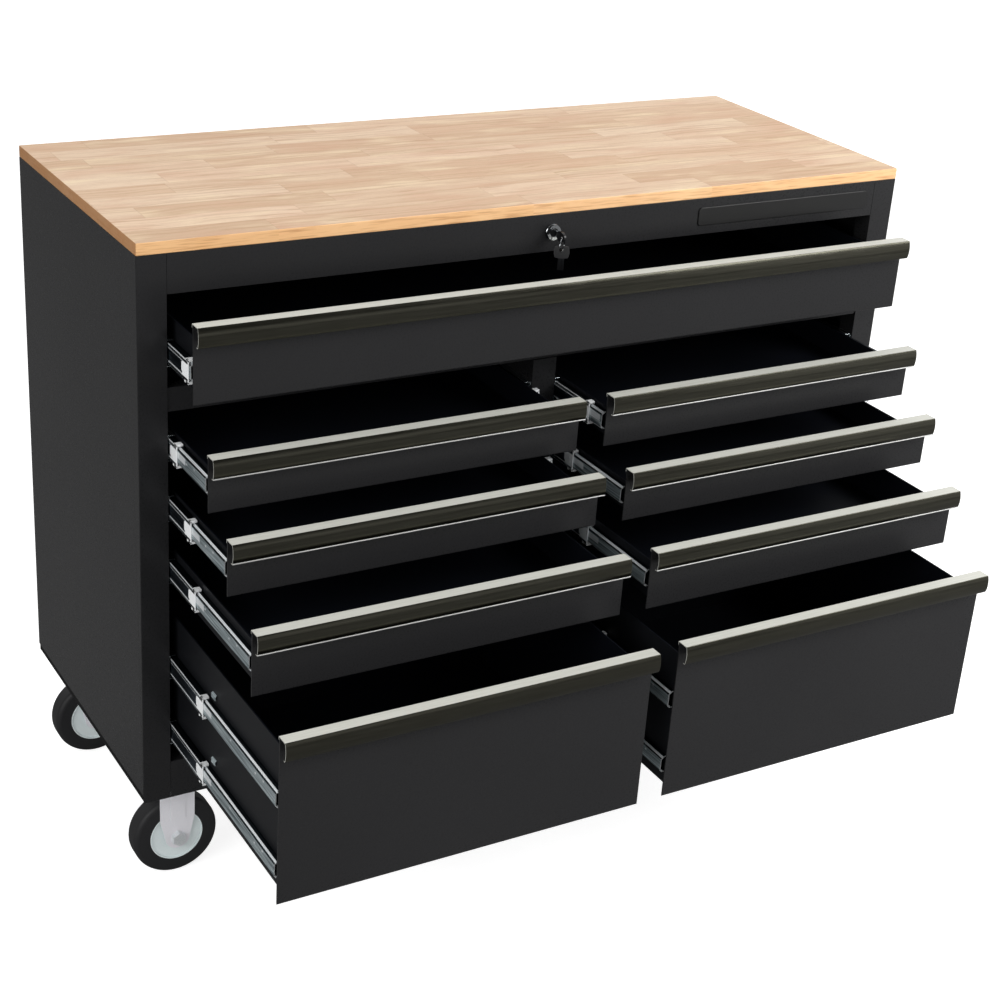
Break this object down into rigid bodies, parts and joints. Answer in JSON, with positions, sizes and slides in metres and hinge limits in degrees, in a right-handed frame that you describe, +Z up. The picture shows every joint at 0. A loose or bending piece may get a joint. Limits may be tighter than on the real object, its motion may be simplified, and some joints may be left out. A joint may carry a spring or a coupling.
{
  "type": "mobile workbench",
  "caption": "Steel drawer cabinet on casters under a solid wood worktop, with pull-out drawers on ball-bearing slides, full-width handles and a keyed lock.",
  "frame": {"origin": "on the floor, under the middle of the bench with its drawers pulled out as stored", "axes": "+X runs right along the front, +Y runs back into the depth, +Z is up"},
  "size_m": [1.168, 0.8222, 0.944],
  "materials": {
    "black_powder_coat": "semi-gloss black powder coat on bent steel sheet",
    "rubberwood": "clear lacquer on edge-glued, finger-jointed staves",
    "anodised_aluminium": "dark bronze anodised extrusion",
    "zinc_slide": "bright zinc plated, roll formed",
    "caster_paint": "light silver-grey paint on pressed steel",
    "tyre": "black rubber tread on a plastic wheel centre",
    "chrome_lock": "bright chrome plate"
  },
  "bodies": {
    "cabinet": {"worktop": "rubberwood", "lock_housing": "chrome_lock", "left_side_panel": "black_powder_coat", "right_side_panel": "black_powder_coat", "back_panel": "black_powder_coat", "bottom_pan": "black_powder_coat", "front_top_rail": "black_powder_coat", "cross_rail": "black_powder_coat", "centre_divider": "black_powder_coat", "left_front_caster_fork": "caster_paint", "right_front_swivel_plate": "caster_paint", "left_rear_caster_fork": "caster_paint", "right_rear_swivel_plate": "caster_paint"},
    "lock_plug": {"lock_plug_with_key": "chrome_lock"},
    "top_drawer": {"top_drawer_tray": "black_powder_coat", "top_drawer_handle": "anodised_aluminium"},
    "top_drawer_slides": {"top_drawer_slide_left": "zinc_slide", "top_drawer_slide_right": "zinc_slide"},
    "left_drawer_1": {"left_drawer_1_tray": "black_powder_coat", "left_drawer_1_handle": "anodised_aluminium"},
    "left_drawer_1_slides": {"left_drawer_1_slide_left": "zinc_slide", "left_drawer_1_slide_right": "zinc_slide"},
    "left_drawer_2": {"left_drawer_2_tray": "black_powder_coat", "left_drawer_2_handle": "anodised_aluminium"},
    "left_drawer_2_slides": {"left_drawer_2_slide_left": "zinc_slide", "left_drawer_2_slide_right": "zinc_slide"},
    "left_drawer_3": {"left_drawer_3_tray": "black_powder_coat", "left_drawer_3_handle": "anodised_aluminium"},
    "left_drawer_3_slides": {"left_drawer_3_slide_left": "zinc_slide", "left_drawer_3_slide_right": "zinc_slide"},
    "left_drawer_4": {"left_drawer_4_tray": "black_powder_coat", "left_drawer_4_handle": "anodised_aluminium"},
    "left_drawer_4_slides": {"left_drawer_4_slide_left_upper": "zinc_slide", "left_drawer_4_slide_left_lower": "zinc_slide", "left_drawer_4_slide_right_upper": "zinc_slide", "left_drawer_4_slide_right_lower": "zinc_slide"},
    "right_drawer_1": {"right_drawer_1_tray": "black_powder_coat", "right_drawer_1_handle": "anodised_aluminium"},
    "right_drawer_1_slides": {"right_drawer_1_slide_left": "zinc_slide", "right_drawer_1_slide_right": "zinc_slide"},
    "right_drawer_2": {"right_drawer_2_tray": "black_powder_coat", "right_drawer_2_handle": "anodised_aluminium"},
    "right_drawer_2_slides": {"right_drawer_2_slide_left": "zinc_slide", "right_drawer_2_slide_right": "zinc_slide"},
    "right_drawer_3": {"right_drawer_3_tray": "black_powder_coat", "right_drawer_3_handle": "anodised_aluminium"},
    "right_drawer_3_slides": {"right_drawer_3_slide_left": "zinc_slide", "right_drawer_3_slide_right": "zinc_slide"},
    "right_drawer_4": {"right_drawer_4_tray": "black_powder_coat", "right_drawer_4_handle": "anodised_aluminium"},
    "right_drawer_4_slides": {"right_drawer_4_slide_left_upper": "zinc_slide", "right_drawer_4_slide_left_lower": "zinc_slide", "right_drawer_4_slide_right_upper": "zinc_slide", "right_drawer_4_slide_right_lower": "zinc_slide"},
    "left_front_wheel": {"left_front_wheel": "tyre"},
    "right_front_swivel": {"right_front_caster_fork": "caster_paint"},
    "right_front_wheel": {"right_front_wheel": "tyre"},
    "left_rear_wheel": {"left_rear_wheel": "tyre"},
    "right_rear_swivel": {"right_rear_caster_fork": "caster_paint"},
    "right_rear_wheel": {"right_rear_wheel": "tyre"}
  },
  "joints": [
    {"name": "top_drawer_slide", "type": "slide", "parent": "cabinet", "child": "top_drawer", "axis": [0, -1, 0], "range_m": [-0.079, 0.321]},
    {"name": "top_drawer_slide_members", "type": "slide", "parent": "cabinet", "child": "top_drawer_slides", "axis": [0, -1, 0], "range_m": [-0.06715, 0.27285]},
    {"name": "left_drawer_1_slide", "type": "slide", "parent": "cabinet", "child": "left_drawer_1", "axis": [0, -1, 0], "range_m": [-0.127, 0.273]},
    {"name": "left_drawer_1_slide_members", "type": "slide", "parent": "cabinet", "child": "left_drawer_1_slides", "axis": [0, -1, 0], "range_m": [-0.0635, 0.1365]},
    {"name": "left_drawer_2_slide", "type": "slide", "parent": "cabinet", "child": "left_drawer_2", "axis": [0, -1, 0], "range_m": [-0.188, 0.212]},
    {"name": "left_drawer_2_slide_members", "type": "slide", "parent": "cabinet", "child": "left_drawer_2_slides", "axis": [0, -1, 0], "range_m": [-0.094, 0.106]},
    {"name": "left_drawer_3_slide", "type": "slide", "parent": "cabinet", "child": "left_drawer_3", "axis": [0, -1, 0], "range_m": [-0.264, 0.136]},
    {"name": "left_drawer_3_slide_members", "type": "slide", "parent": "cabinet", "child": "left_drawer_3_slides", "axis": [0, -1, 0], "range_m": [-0.132, 0.068]},
    {"name": "left_drawer_4_slide", "type": "slide", "parent": "cabinet", "child": "left_drawer_4", "axis": [0, -1, 0], "range_m": [-0.348, 0.052]},
    {"name": "left_drawer_4_slide_members", "type": "slide", "parent": "cabinet", "child": "left_drawer_4_slides", "axis": [0, -1, 0], "range_m": [-0.174, 0.026]},
    {"name": "right_drawer_1_slide", "type": "slide", "parent": "cabinet", "child": "right_drawer_1", "axis": [0, -1, 0], "range_m": [-0.129, 0.271]},
    {"name": "right_drawer_1_slide_members", "type": "slide", "parent": "cabinet", "child": "right_drawer_1_slides", "axis": [0, -1, 0], "range_m": [-0.09004, 0.18916]},
    {"name": "right_drawer_2_slide", "type": "slide", "parent": "cabinet", "child": "right_drawer_2", "axis": [0, -1, 0], "range_m": [-0.19, 0.21]},
    {"name": "right_drawer_2_slide_members", "type": "slide", "parent": "cabinet", "child": "right_drawer_2_slides", "axis": [0, -1, 0], "range_m": [-0.095, 0.105]},
    {"name": "right_drawer_3_slide", "type": "slide", "parent": "cabinet", "child": "right_drawer_3", "axis": [0, -1, 0], "range_m": [-0.264, 0.136]},
    {"name": "right_drawer_3_slide_members", "type": "slide", "parent": "cabinet", "child": "right_drawer_3_slides", "axis": [0, -1, 0], "range_m": [-0.132, 0.068]},
    {"name": "right_drawer_4_slide", "type": "slide", "parent": "cabinet", "child": "right_drawer_4", "axis": [0, -1, 0], "range_m": [-0.346, 0.054]},
    {"name": "right_drawer_4_slide_members", "type": "slide", "parent": "cabinet", "child": "right_drawer_4_slides", "axis": [0, -1, 0], "range_m": [-0.173, 0.027]},
    {"name": "left_front_wheel_spin", "type": "hinge", "parent": "cabinet", "child": "left_front_wheel", "pos_m": [-0.522, 0.01162, 0.061], "axis": [0, 1, 0], "continuous": true},
    {"name": "right_front_swivel", "type": "hinge", "parent": "cabinet", "child": "right_front_swivel", "pos_m": [0.522, 0.01162, 0.15], "axis": [0, 0, 1], "continuous": true},
    {"name": "right_front_wheel_spin", "type": "hinge", "parent": "right_front_swivel", "child": "right_front_wheel", "pos_m": [0.484, 0.01162, 0.061], "axis": [0, 1, 0], "continuous": true},
    {"name": "left_rear_wheel_spin", "type": "hinge", "parent": "cabinet", "child": "left_rear_wheel", "pos_m": [-0.522, 0.35363, 0.061], "axis": [0, 1, 0], "continuous": true},
    {"name": "right_rear_swivel", "type": "hinge", "parent": "cabinet", "child": "right_rear_swivel", "pos_m": [0.522, 0.35363, 0.15], "axis": [0, 0, 1], "continuous": true},
    {"name": "right_rear_wheel_spin", "type": "hinge", "parent": "right_rear_swivel", "child": "right_rear_wheel", "pos_m": [0.484, 0.35363, 0.061], "axis": [0, 1, 0], "continuous": true},
    {"name": "lock_turn", "type": "hinge", "parent": "cabinet", "child": "lock_plug", "pos_m": [-0.005, -0.04587, 0.9035], "axis": [0, 1, 0], "range_deg": [0, 90]}
  ],
  "couplings": [
    {"joint": "top_drawer_slide_members", "follows": "top_drawer_slide", "ratio": 0.85},
    {"joint": "left_drawer_1_slide_members", "follows": "left_drawer_1_slide", "ratio": 0.5},
    {"joint": "left_drawer_2_slide_members", "follows": "left_drawer_2_slide", "ratio": 0.5},
    {"joint": "left_drawer_3_slide_members", "follows": "left_drawer_3_slide", "ratio": 0.5},
    {"joint": "left_drawer_4_slide_members", "follows": "left_drawer_4_slide", "ratio": 0.5},
    {"joint": "right_drawer_1_slide_members", "follows": "right_drawer_1_slide", "ratio": 0.698},
    {"joint": "right_drawer_2_slide_members", "follows": "right_drawer_2_slide", "ratio": 0.5},
    {"joint": "right_drawer_3_slide_members", "follows": "right_drawer_3_slide", "ratio": 0.5},
    {"joint": "right_drawer_4_slide_members", "follows": "right_drawer_4_slide", "ratio": 0.5}
  ]
}
